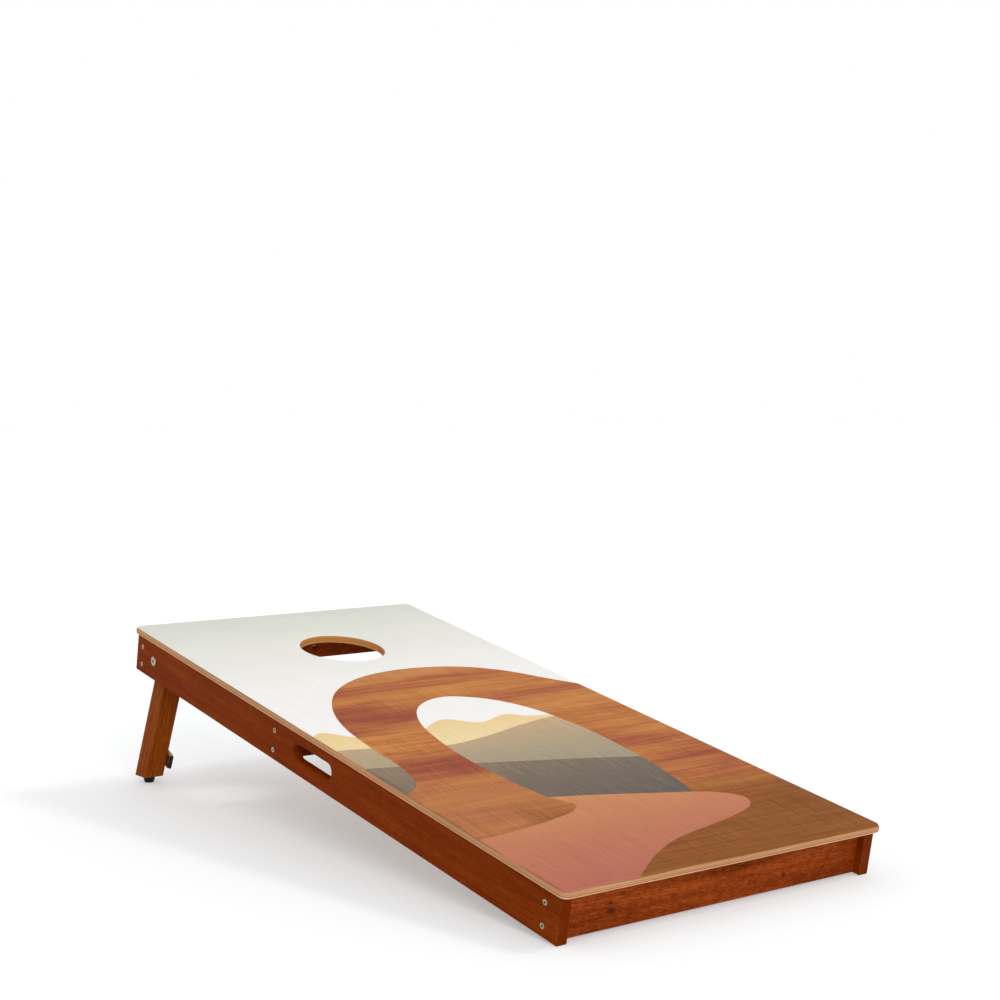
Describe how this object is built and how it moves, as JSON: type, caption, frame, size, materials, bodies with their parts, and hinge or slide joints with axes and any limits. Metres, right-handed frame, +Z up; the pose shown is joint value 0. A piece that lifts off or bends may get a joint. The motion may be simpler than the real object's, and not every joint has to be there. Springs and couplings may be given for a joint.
{
  "type": "cornhole board",
  "caption": "Sloping plywood deck with a round bag hole on a shallow timber frame, hand slots in the side rails and folding back legs on rubber feet.",
  "frame": {"origin": "on the ground under the middle of the whole object, with the board standing on the low ends of its side rails and its rubber feet", "axes": "+Z up, +Y up the slope towards the bag hole and the legs, +X across the board to the right when looking up the slope"},
  "size_m": [0.6096, 1.2566, 0.298],
  "materials": {
    "printed_film": null,
    "birch_plywood": "bare plywood with clear varnish, plies showing at the rounded edge",
    "stained_board": "red-brown stained board under satin varnish",
    "stained_lumber": "orange-brown stained lumber under satin varnish",
    "stained_leg": "brown stained lumber under satin varnish",
    "zinc_steel": "zinc plated",
    "bronze_steel": "bronze coloured plating",
    "black_magnet": "sintered black",
    "black_rubber": "moulded matte"
  },
  "bodies": {
    "frame": {"deck": "birch_plywood", "printed_sheet": "printed_film", "side_rail_left": "stained_board", "side_rail_right": "stained_board", "front_rail": "stained_lumber", "mid_brace": "stained_board", "back_rail": "stained_lumber", "rail_screws_left": "zinc_steel", "rail_screws_right": "zinc_steel", "deck_screws_back": "zinc_steel", "deck_screws_front": "zinc_steel", "deck_screws_brace": "zinc_steel", "deck_screws_left": "zinc_steel", "deck_screws_right": "zinc_steel", "pivot_bolt_left": "zinc_steel", "pivot_bolt_right": "zinc_steel", "spacer_washer_left": "zinc_steel", "spacer_washer_right": "zinc_steel", "nut_washer_left": "zinc_steel", "nut_washer_right": "zinc_steel", "lock_nut_left": "zinc_steel", "lock_nut_right": "zinc_steel", "strike_plate_left": "zinc_steel", "strike_plate_right": "zinc_steel", "strike_screws_left": "zinc_steel", "strike_screws_right": "zinc_steel"},
    "leg_left": {"leg_left": "stained_leg", "rubber_foot_left": "black_rubber", "foot_screw_left": "zinc_steel", "catch_housing_left": "bronze_steel", "catch_magnet_left": "black_magnet", "catch_screws_left": "zinc_steel"},
    "leg_right": {"leg_right": "stained_leg", "rubber_foot_right": "black_rubber", "foot_screw_right": "zinc_steel", "catch_housing_right": "bronze_steel", "catch_magnet_right": "black_magnet", "catch_screws_right": "zinc_steel"}
  },
  "joints": [
    {"name": "leg_left_fold", "type": "hinge", "parent": "frame", "child": "leg_left", "pos_m": [-0.26, 0.50516, 0.24047], "axis": [-1, 0, 0], "range_deg": [0, 103.67]},
    {"name": "leg_right_fold", "type": "hinge", "parent": "frame", "child": "leg_right", "pos_m": [0.26, 0.50516, 0.24047], "axis": [-1, 0, 0], "range_deg": [0, 103.67]}
  ]
}
